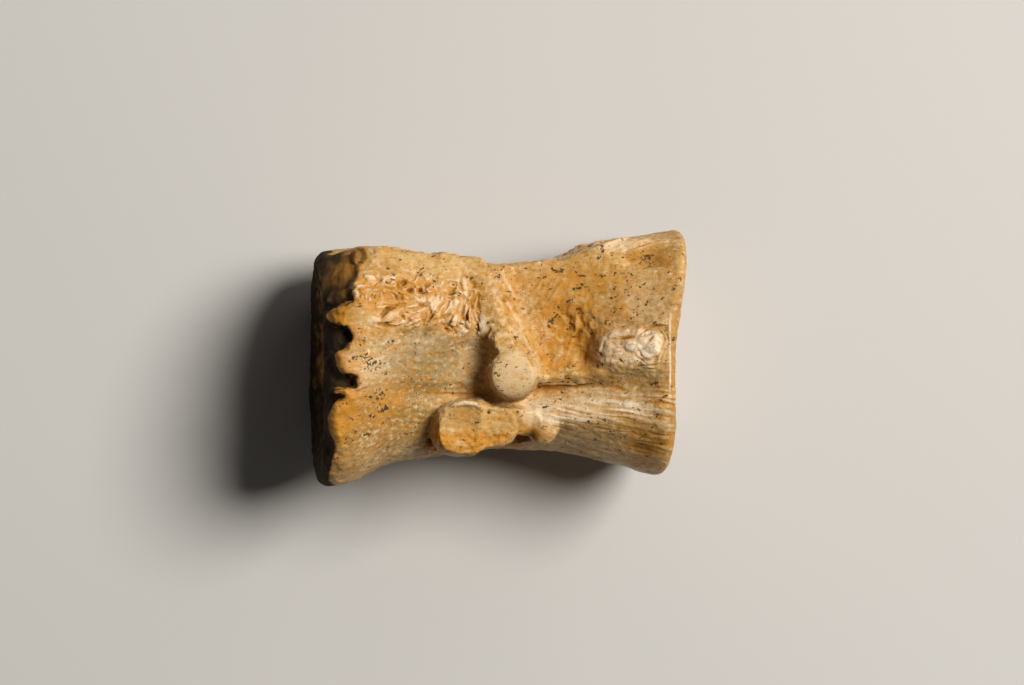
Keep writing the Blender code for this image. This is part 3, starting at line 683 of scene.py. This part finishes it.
def right_half(points, u, v):
    """Lines and layers right of the buttress: raised and sunk heights, the patch's lumps and the rim line."""
    bent_u, bent_v = warped(points, u, v, 0.26, 1.0, 61)
    bent_u, bent_v = warped(points, bent_u, bent_v, 0.08, 0.4, 58)
    away = np.hypot(bent_u - PLATE[0], bent_v - PLATE[1]) + 0.25 * grains(points, 0.9, 60)
    below = smooth(-0.6, 0.6, bent_u - PLATE[0] - bent_v + PLATE[1])
    below = below * smooth(0.8, 1.1, away) * (1.0 - smooth(1.6, 2.3, away))
    plate = 0.07 * table(bent_u, bent_v, PLATE, 0.15) + 0.05 * below * np.cos(2 * np.pi * away / 0.42)
    patch = table(bent_u, bent_v, PATCH, 0.2) * (1.0 - 0.8 * dome(u, v, PLATE))
    lobes = smooth(0.0, 0.50, np.abs(streaks(bent_u, bent_v, points[:, 2], 1.1, 0.62, 64)))
    lump = patch * (0.09 * lobes + 0.08 * rough(points, 0.6, 63))
    lump = lump + 0.32 * domes(bent_u, bent_v, PATCH_LUMPS, 0.7)
    past_rim = u - RIM_U - 0.05 * grains(points, 1.6, 30)
    rim = np.exp(-((past_rim / 0.10) ** 2)) - 0.7 * np.exp(-(((past_rim - 0.24) / 0.10) ** 2))
    rim = rim * smooth(-4.5, -1.5, v) * (1.0 - smooth(3.2, 3.9, v)) * (0.75 + 0.45 * grains(points, 0.9, 31))
    flow = streaks(u + v, bent_v - 1.1 * bent_u, points[:, 2], 1.6, 0.35, 68)
    lines = streaks(u + v, v - 0.36 * u, points[:, 2], 3.0, 0.16, 69)
    raised = ridge(u, v, LAMINA_LINE, 0.26) + plate + lump + 0.30 * spot(u, v, KNOB_SHOULDER) + 0.13 * rim
    raised = raised + 0.13 * cliff(bent_u, bent_v, SHELF_LINE, 0.9) + 0.14 * cliff(bent_u, bent_v, LEDGE, 0.8)
    raised = raised - 0.10 * cliff(bent_u, bent_v, LOST_EDGE, 0.9)
    raised = raised + 0.13 * table(u, v, TOP_LAYERS, 0.3) * lines + 0.09 * spot(u, v, SKIN) * flow
    crack = ridge(bent_u, v, CRACK, 0.22) * (0.6 + 0.9 * grains(points, 0.8, 62))
    fibres = streaks(v, bent_u - 0.18 * (v - 4.0), points[:, 2], 1.6, 0.30, 65) * spot(u, v, FOSSA_FIBRES)
    rugged = 0.24 * rough(points, 1.2, 67, 4) + 0.16 * np.clip(grains(points, 0.55, 66), 0.0, 1.0)
    pitted = 0.16 * rough(points, 0.8, 56) + 0.14 * np.clip(grains(points, 0.36, 57), 0.0, 1.0)
    sunk = strokes(bent_u, bent_v, PATCH_SLITS) + crack + ridge(u, v, KNOB_GROOVE, 0.22)
    sunk = sunk + np.clip(1.3 * dome(u, v, FOSSA, 0.7), 0.0, 1.0) * (0.15 * fibres + rugged)
    return raised, sunk + spot(u, v, COLUMN) * pitted, lump, rim


def striations(points, u, v):
    """Height of the bone's fibres, fanning over the lower half and straight elsewhere, and the fan alone."""
    bent_u, bent_v = warped(points, u, v, 0.10, 1.2, 71)
    turn = 24.0 * np.arctan2(bent_v - STRIATION_CENTRE[1], bent_u - STRIATION_CENTRE[0])
    away = np.hypot(v - STRIATION_CENTRE[1], u - STRIATION_CENTRE[0])
    fan = streaks(away, turn, points[:, 2], 2.6, 0.22, 73)
    fan = fan + 0.7 * streaks(away, turn, points[:, 2], 1.6, 0.13, 74)
    lower = smooth(3.2, 6.5, u) * (1.0 - smooth(-2.6, -2.0, v))
    plain = streaks(u, bent_v, points[:, 2], 1.8, 0.28, 75)
    fan = fan * (0.55 + 0.9 * smooth(-0.4, 0.5, grains(points, 1.7, 29)))
    return 0.052 * lower * fan + 0.030 * (1.0 - lower) * plain, lower * fan


def facet_detail(points, u, v):
    """The lower facet's arc, pits and porous lower part: raised and sunk heights, and that part's share."""
    bent_u, bent_v = warped(points, u, v, 0.15, 0.8, 81)
    hanging = between(bent_u, bent_v, HANGING_FOOT, HANGING_TOP, 0.25)
    porous = hanging * (0.10 * rough(points, 0.5, 83) - 0.13 * np.clip(grains(points, 0.28, 84), 0.0, 1.0))
    sunk = domes(u, v, FACET_PITS, 1.0) + ridge(u, v, FACET_FURROW, 0.20)
    return 1.5 * ridge(u, v, FACET_ARC, 0.28) + porous, sunk, hanging


def pores(points, seed):
    """Small round pits, thinly strewn."""
    return smooth(0.58, 0.70, grains(points, 0.30, seed))


def black_share(points, u, v):
    """Share of the black crumbs, in small clusters that lean a little."""
    bent_u, bent_v = warped(points, u, v, 0.16, 0.35, 94)
    black = 0.85 * sum(spot(bent_u, bent_v - 0.3 * (bent_u - place[0]), (*place, *CRUMB)) for place in CRUMBS)
    return np.minimum(black + spots(u, v, BLACK_SPOTS), 0.78)


def near_flank(points):
    """Raised and sunk heights of the near flank, and its STAIN_AND_PAINTED_LIGHT_SHARES."""
    u, v = points[:, 0] + LEAN * points[:, 2], points[:, 1]
    folds, fold_pits, fingers, trough, wrinkled = wrinkles(points, u, v)
    lines, slits, lump, rim_line = right_half(points, u, v)
    fibres, fan = striations(points, u, v)
    rim, outside, fragments = broken_rim(points, u, v)
    facet, facet_pit, hanging = facet_detail(points, u, v)
    calm = 1.0 - 0.85 * table(u, v, (*KNOB_TOP, 2.15, 2.15), 0.1)
    grain = calm * (0.05 * rough(points, 0.9, 91) + 0.030 * rough(points, 0.32, 92, 2))
    holes = pores(points, 93) * table(u, v, PORE_SPOT, 0.4)
    raised = folds + rim + lines + facet + calm * fibres + grain
    sunk = fold_pits + slits + facet_pit + 0.10 * holes
    ochre = spots(u, v, OCHRE_SPOTS) + 0.85 * hanging + 0.45 * trough
    along_column = streaks(v - 0.6 * u, u + 0.6 * v, points[:, 2], 1.8, 0.32, 27)
    # Pale on the raised folds of the wrinkled ground is partly pale bone and partly a painted highlight.
    pale = spots(u, v, PALE_SPOTS) + 6.0 * np.clip(fingers - 0.04, 0.0, 0.20) + 4.0 * lump
    # The pale rim line inside the right rim is a painted highlight.
    pale = pale + 0.8 * table(u, v, PLATE, 0.2) + 1.2 * np.clip(rim_line, 0.0, 1.0)
    pale = pale + 1.1 * spot(u, v, PALE_COLUMN) * np.clip(along_column, 0.0, 1.0)
    pale = pale + 0.5 * table(u, v, PALE_EDGE, 0.3) + 0.35 * table(u, v, (*KNOB_TOP, 2.2, 2.2), 0.2)
    # The pale arc along the raised edge of the lower facet's lobe is a painted highlight.
    pale = pale + 1.5 * ridge(u, v, LAMINA_LINE, 0.3) + 5.0 * ridge(u, v, FACET_ARC, 0.24)
    # The paler lower crest is partly pale bone and partly a painted highlight.
    pale = pale + ridge(u, v, PALE_CREST, 1.7) * (0.95 + 0.5 * fan) + 0.6 * np.clip(fan, 0.0, 1.0)
    # The band outside the ragged edge of the left rim is painted brown to nearly black: partly a dark crust
    # and partly painted shade, darker lower down and lighter on its loose fragments.
    left_sediment_and_shade = 1.30 - 0.42 * smooth(3.0, 6.0, v) + 0.30 * grains(points, 1.5, 32)
    left_sediment_and_shade = left_sediment_and_shade - 1.3 * np.clip(fragments, 0.0, 0.45)
    brown = spots(u, v, BROWN_SPOTS) + 1.2 * slits + 1.5 * fold_pits + 3.2 * facet_pit
    # The brown in the groove beside the right rim line is painted shade.
    brown = brown + 0.45 * np.clip(-fan, 0.0, 1.0) + 0.5 * np.clip(-rim_line, 0.0, 1.0)
    brown = brown + outside * left_sediment_and_shade + 1.6 * domes(u, v, RIM_NOTCHES, 0.7)
    # Brown in the troughs of the wrinkled ground is partly staining and partly painted shade.
    brown = brown + 0.50 * trough * smooth(0.0, 0.5, grains(points, 0.9, 28))
    brown = brown + np.clip(-cliff(u, v, SHELF_LINE, 0.28), 0.0, 1.0)
    brown = brown + 0.9 * dome(u, v, BREAK_SPOT, 0.5) + 0.30 * table(u, v, LOST_SPOT, 0.2)
    dull = spots(u, v, DULL_SPOTS) + 0.8 * table(u, v, LOST_SPOT, 0.2)
    even = spots(u, v, EVEN_SPOTS) + table(u, v, (*KNOB_TOP, 2.3, 2.3), 0.1)
    mixed = np.max([spot(u, v, place) for place in MIXED_SPOTS], axis=0)
    mottled = 1.0 - 0.85 * even + 0.5 * mixed - spots(u, v, CALM_SPOTS)
    relief = 0.5 + 2.0 * (raised - sunk - rim) + 0.30 * wrinkled
    return raised, sunk, ochre, pale, brown, dull, black_share(points, u, v), mottled, relief


def other_sides(points, normal):
    """The same for the rest: hidden flank, back with its broken pedicles, belly and hollowed end faces."""
    x, y, z = points.T
    radius = np.hypot(y, z * 1.05)
    face = smooth(0.45, 0.8, np.abs(normal[:, 0])) * smooth(10.0, 11.5, np.abs(x))
    face = face * (1.0 - smooth(9.3, 10.0, radius))
    back = smooth(0.35, 0.75, normal[:, 1]) * (1.0 - face)
    torn = back * np.exp(-(((np.abs(z) - PEDICLE_AT) / (PEDICLE_HALF * 1.05)) ** 4))
    torn = torn * smooth(-11.5, -9.5, x) * (1.0 - smooth(9.0, 11.5, x))
    rings = np.cos(2 * np.pi * (radius + 0.55 * grains(points, 2.6, 101)) / 0.85)
    rings = rings * smooth(-0.5, 0.4, grains(points, 4.0, 118))
    spread = streaks(radius, np.arctan2(y, z) * 14.0, x, 2.5, 0.5, 102)
    fibres = streaks(x, y, z, 2.4, 0.26, 103) * (1.0 - face) * (1.0 - torn)
    curls = worms(points, 0.8, 106) * smooth(0.0, 0.5, grains(points, 5.0, 107))
    wall = spot(x, y, KNOB_WALL) * np.exp(-(((z - 6.0) / 1.7) ** 2))
    raised = face * (0.04 * rings * smooth(1.5, 4.0, radius) + 0.04 * spread + 0.12 * rough(points, 2.4, 119))
    raised = raised + 0.04 * fibres + 0.06 * rough(points, 0.9, 104) + 0.15 * torn * rough(points, 0.9, 105)
    raised = raised + 0.10 * curls * smooth(-11.5, -9.0, -np.abs(x))
    raised = raised + wall * (0.75 * rough(points, 2.0, 116) + 0.16 * rough(points, 0.6, 117))
    cells = torn * np.clip(grains(points, 0.42, 108), 0.0, 1.0)
    foramen = np.max([dome(x, z, place, 0.6) for place in FORAMINA], axis=0)
    foramen = foramen * smooth(0.6, 0.8, -normal[:, 1])
    sunk = 0.30 * cells + 0.5 * foramen + 0.08 * pores(points, 109)
    lip = smooth(13.2, 13.7, x) * smooth(7.6, 9.0, radius) * (0.75 + 0.6 * grains(points, 2.0, 120))
    ochre = 0.45 * smooth(-0.1, 0.6, grains(points, 6.0, 110)) + 0.1 * torn + 0.5 * lip
    ochre = ochre + 0.25 * face * smooth(-0.2, 0.6, rings)
    pale = 0.4 * smooth(0.0, 0.6, grains(points, 4.0, 111)) + 0.3 * face + 0.35 * torn
    pale = pale * (1.0 - 0.9 * lip)
    # The left end face and the bone left of about x = -13 are painted brown to nearly black: partly a dark
    # crust and partly painted shade, a little lighter inside the face's rim.
    end_sediment_and_shade = (1.0 - smooth(-13.3, -12.6, x + 0.9 * rough(points, 1.8, 115))) + face * (x < 0)
    end_sediment_and_shade_strength = 1.32 - 0.52 * face * (1.0 - smooth(5.5, 8.5, radius)) + 0.34 * rough(points, 2.2, 113)
    brown = 1.2 * cells + 1.5 * foramen + 0.25 * face * (1.0 - smooth(0.0, 3.0, radius)) + 0.5 * lip
    brown = brown + end_sediment_and_shade_strength * np.clip(end_sediment_and_shade, 0.0, 1.0) + 0.30 * end_sediment_and_shade * rough(points, 0.8, 122, 4)
    brown = brown + wall * (0.25 + 0.5 * rough(points, 1.6, 121))
    dull = 0.6 * smooth(-0.3, 0.5, grains(points, 5.0, 114)) + 0.5 * lip
    black = 0.6 * smooth(0.45, 0.9, grains(points, 2.6, 112))
    return raised, sunk, ochre, pale, brown, dull, black, np.full_like(x, 0.8), 0.5 + 2.0 * (raised - sunk)


def read_points(mesh, kind="co"):
    points = np.empty(len(mesh.vertices) * 3)
    mesh.vertices.foreach_get(kind, points)
    return points.reshape(-1, 3)


def write_points(mesh, points):
    mesh.vertices.foreach_set("co", points.ravel())
    mesh.update()


def write_share(mesh, name, values):
    """A number on every vertex, for the material to read."""
    layer = mesh.attributes.new(name, "FLOAT", "POINT")
    layer.data.foreach_set("value", np.clip(values, 0.0, 1.5).astype(np.float32))


def apply_modifier(piece, kind, **settings):
    modifier = piece.modifiers.new(kind.lower(), kind)
    for name, value in settings.items():
        setattr(modifier, name, value)
    bpy.context.view_layer.objects.active = piece
    bpy.ops.object.modifier_apply(modifier=modifier.name)


def add_fine_surface(mesh, shift):
    """Moves every vertex of the remeshed bone along its normal and stores the shares of each stain, painted
    highlight and painted shade.
    """
    points = read_points(mesh) / MM - shift
    normal = read_points(mesh, "normal")
    near = smooth(0.05, 0.40, normal[:, 2]) * smooth(-1.5, 1.0, points[:, 2])
    flank, rest = near_flank(points), other_sides(points, normal)
    raised, sunk, *stain_and_light_shares = (near * a + (1.0 - near) * b for a, b in zip(flank, rest))
    points = points + normal * (raised - sunk)[:, None] + shift
    points[:, 2] = np.maximum(points[:, 2], 0.0)
    write_points(mesh, points * MM)
    for name, values in zip(STAIN_AND_PAINTED_LIGHT_SHARES, stain_and_light_shares):
        write_share(mesh, name, values)


def make_bone():
    """The fine bone in one piece, laid over its solid."""
    bpy.ops.mesh.primitive_uv_sphere_add(segments=AROUND, ring_count=ALONG, radius=1.0)
    bone = bpy.context.object
    bone.name = bone.data.name = "bone_surface"
    apply_modifier(bone, "SUBSURF", subdivision_type="SIMPLE", levels=HALVINGS, render_levels=HALVINGS)
    points = bone_points(bone.data)
    shift = -(points.min(axis=0) + points.max(axis=0)) / 2
    shift[2] = 0.0
    write_points(bone.data, (points + shift) * MM)
    apply_modifier(bone, "REMESH", mode="VOXEL", voxel_size=VOXEL * MM, adaptivity=0.0)
    shift[2] = MID_DEPTH - REST_TRIM
    add_fine_surface(bone.data, shift)
    bone.data.shade_smooth()
    return bone


def fill_inputs(node, inputs):
    """Sets or links inputs of a node, by name or number."""
    for name, value in inputs.items():
        if isinstance(value, bpy.types.NodeSocket):
            node.id_data.links.new(value, node.inputs[name])
        else:
            node.inputs[name].default_value = value


def mix(tree, factor, low, high):
    """The colour low where factor is 0 and high where it is 1."""
    node = tree.nodes.new("ShaderNodeMix")
    node.data_type = "RGBA"
    fill_inputs(node, {0: factor, 6: low, 7: high})
    return node.outputs[2]


def compute(tree, operation, first, second):
    """One sum of two values, each a socket or a number."""
    node = tree.nodes.new("ShaderNodeMath")
    node.operation = operation
    fill_inputs(node, {0: first, 1: second})
    return node.outputs[0]


def remap(tree, value, low, high, new_low=0.0, new_high=1.0):
    """Carries a range of a value onto another range, and stops at its ends."""
    node = tree.nodes.new("ShaderNodeMapRange")
    fill_inputs(node, {"Value": value, "From Min": low, "From Max": high})
    fill_inputs(node, {"To Min": new_low, "To Max": new_high})
    return node.outputs[0]


def noise(tree, cell, detail, stretch=(1.0, 1.0, 1.0)):
    """Noise whose lumps are about one cell of millimetres across, drawn out by a stretch."""
    place = tree.nodes.new("ShaderNodeTexCoord").outputs["Object"]
    mapping = tree.nodes.new("ShaderNodeMapping")
    fill_inputs(mapping, {"Vector": place, "Scale": [1.0 / (cell * MM * s) for s in stretch]})
    node = tree.nodes.new("ShaderNodeTexNoise")
    fill_inputs(node, {"Vector": mapping.outputs[0], "Scale": 1.0, "Detail": detail})
    return node.outputs[0]


def share(tree, name):
    """What write_share stored under a name."""
    node = tree.nodes.new("ShaderNodeAttribute")
    node.attribute_name = name
    return node.outputs["Fac"]


# Linear colours of the bone, of its staining and of its painted highlights and shade.
CREAM = (0.56, 0.370, 0.145, 1.0)
TAN = (0.44, 0.258, 0.080, 1.0)
OCHRE = (0.47, 0.205, 0.022, 1.0)
PALE = (0.80, 0.65, 0.45, 1.0)
DULL = (0.265, 0.175, 0.060, 1.0)
UMBER = (0.24, 0.125, 0.032, 1.0)
BROWN = (0.085, 0.048, 0.012, 1.0)
# Nearly black: a dark crust and painted shade by the left rim and on the left end.
CRUST_AND_SHADE = (0.030, 0.018, 0.007, 1.0)
BLACK = (0.070, 0.045, 0.020, 1.0)
FLECK = (0.50, 0.200, 0.015, 1.0)


def bone_material():
    """Mineralised bone: cream to ochre, pale on worn ridges and on painted highlights, brown in hollows, with
    dark specks, and brown to nearly black crust and painted shade at the left rim and end.
    """
    material = bpy.data.materials.new("fossil_bone_fine")
    material.use_nodes = True
    tree = material.node_tree
    shader = tree.nodes["Principled BSDF"]
    relief = share(tree, "relief")
    colour = mix(tree, remap(tree, noise(tree, 2.2, 6.0), 0.38, 0.62), CREAM, TAN)
    patchy = remap(tree, noise(tree, 0.45, 5.0), 0.30, 0.60, 0.45, 1.2)
    colour = mix(tree, compute(tree, "MULTIPLY", share(tree, "dull"), patchy), colour, DULL)
    grain = noise(tree, 0.34, 6.0, (1.4, 1.0, 1.0))
    light = compute(tree, "MULTIPLY", share(tree, "mottled"), remap(tree, grain, 0.53, 0.70, 0.0, 0.55))
    colour = mix(tree, light, colour, PALE)
    shade = compute(tree, "MULTIPLY", share(tree, "mottled"), remap(tree, grain, 0.46, 0.31, 0.0, 0.85))
    colour = mix(tree, shade, colour, UMBER)
    patchy = remap(tree, noise(tree, 0.9, 6.0), 0.32, 0.62, 0.35, 1.3)
    stain = compute(tree, "MULTIPLY", share(tree, "ochre"), patchy)
    blotch = remap(tree, noise(tree, 0.7, 5.0, (1.8, 1.0, 1.0)), 0.54, 0.68, 0.0, 0.65)
    colour = mix(tree, compute(tree, "MAXIMUM", stain, blotch), colour, OCHRE)
    worn = compute(tree, "MULTIPLY", remap(tree, relief, 0.66, 1.00), 0.8)
    # From here on this share is wear and painted highlight together, since the pale share carries painted
    # highlights.
    worn = compute(tree, "MAXIMUM", worn, compute(tree, "MULTIPLY", share(tree, "pale"), 0.85))
    worn = compute(tree, "MULTIPLY", worn, remap(tree, noise(tree, 0.5, 4.0), 0.35, 0.55, 0.65, 1.0))
    colour = mix(tree, worn, colour, PALE)
    cluster = compute(tree, "MULTIPLY", noise(tree, 2.4, 4.0), 0.6)
    fleck = compute(tree, "ADD", noise(tree, 0.24, 4.0, (3.2, 1.0, 1.0)), cluster)
    colour = mix(tree, remap(tree, fleck, 0.90, 0.98, 0.0, 0.7), colour, FLECK)
    hollow = compute(tree, "MULTIPLY", remap(tree, relief, 0.44, 0.10), 0.75)
    orange = compute(tree, "MAXIMUM", hollow, share(tree, "brown"))
    colour = mix(tree, remap(tree, orange, 0.0, 0.6), colour, OCHRE)
    colour = mix(tree, remap(tree, orange, 0.45, 1.0), colour, BROWN)
    # The darkest stage is nearly black: a dark crust and painted shade.
    colour = mix(tree, remap(tree, orange, 0.90, 1.25), colour, CRUST_AND_SHADE)
    pore = remap(tree, noise(tree, 0.20, 3.0, (1.6, 1.0, 1.0)), 0.62, 0.70, 0.0, 0.60)
    colour = mix(tree, pore, colour, BROWN)
    cluster = compute(tree, "MULTIPLY", noise(tree, 1.1, 2.0), 0.55)
    cluster = compute(tree, "ADD", cluster, remap(tree, share(tree, "mottled"), 0.0, 1.0, -0.05, 0.0))
    speck = compute(tree, "ADD", noise(tree, 0.27, 3.0, (1.5, 1.0, 1.0)), cluster)
    crumb = compute(tree, "MULTIPLY", share(tree, "black"), 0.30)
    crumb = compute(tree, "ADD", crumb, noise(tree, 0.26, 3.0))
    dark = compute(tree, "MAXIMUM", remap(tree, speck, 0.955, 0.995), remap(tree, crumb, 0.71, 0.77))
    colour = mix(tree, dark, colour, BLACK)
    matt = remap(tree, share(tree, "brown"), 0.3, 1.0, 0.4, 0.95)
    matt = compute(tree, "MAXIMUM", matt, remap(tree, dark, 0.0, 1.0, 0.4, 0.8))
    bump = tree.nodes.new("ShaderNodeBump")
    fill_inputs(bump, {"Strength": 0.6, "Distance": 0.06 * MM, "Height": noise(tree, 0.16, 4.0)})
    fill_inputs(shader, {
        "Base Color": colour,
        "Roughness": compute(tree, "MAXIMUM", remap(tree, noise(tree, 0.9, 4.0), 0.3, 0.7, 0.42, 0.62), matt),
        "Specular IOR Level": 0.22,
        "Normal": bump.outputs[0],
    })
    return material


def plain_material(name, colour, roughness):
    material = bpy.data.materials.new(name)
    material.use_nodes = True
    shader = material.node_tree.nodes["Principled BSDF"]
    fill_inputs(shader, {"Base Color": (*colour, 1.0), "Roughness": roughness})
    return material


def make_floor():
    bpy.ops.mesh.primitive_plane_add(size=4.0, location=(0, 0, 0))
    floor = bpy.context.object
    floor.name = floor.data.name = "floor"
    floor.data.materials.append(plain_material("floor_paper", (0.50, 0.49, 0.475), 0.8))


def area_light(name, place, size, watts, colour):
    """A round light that faces the middle of the bone."""
    data = bpy.data.lights.new(name, "AREA")
    data.shape = "DISK"
    data.size = size
    data.energy = watts
    data.color = colour
    lamp = bpy.data.objects.new(name, data)
    bpy.context.scene.collection.objects.link(lamp)
    lamp.location = place
    target = Vector((0.0, 0.0, MID_DEPTH * MM))
    lamp.rotation_euler = (target - Vector(place)).to_track_quat("-Z", "Y").to_euler()


def make_lights():
    area_light("key", (0.27, 0.14, 0.45), 0.28, 4.2, (1.0, 0.96, 0.90))
    area_light("fill", (0.30, 0.40, 0.25), 0.40, 0.35, (1.0, 0.97, 0.93))
    world = bpy.data.worlds.new("studio")
    bpy.context.scene.world = world
    world.use_nodes = True
    fill_inputs(world.node_tree.nodes["Background"], {"Color": (1.0, 0.97, 0.94, 1.0), "Strength": 0.06})
    bpy.context.scene.view_settings.view_transform = "Standard"


def make_camera():
    """The photo's view: from above, and a little from the left."""
    data = bpy.data.cameras.new("camera")
    data.sensor_width = SENSOR
    data.lens = SENSOR * CAMERA_AWAY / FRAME_WIDE
    data.clip_start = 0.01
    camera = bpy.data.objects.new("camera", data)
    bpy.context.scene.collection.objects.link(camera)
    c, s = math.cos(CAMERA_TURN), math.sin(CAMERA_TURN)
    right, up, back = Vector((c, 0, s)), Vector((0, 1, 0)), Vector((-s, 0, c))
    low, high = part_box(NODE)
    middle = (Vector(low) + Vector(high)) / 2
    place = middle + back * CAMERA_AWAY + right * AIM_RIGHT + up * AIM_UP
    camera.matrix_world = Matrix.Translation(place) @ Matrix((right, up, back)).transposed().to_4x4()
    bpy.context.scene.camera = camera


make_camera()
make_lights()
make_floor()
bone = make_bone()
bone.data.materials.append(bone_material())
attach(bone, "root")
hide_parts(NODE)
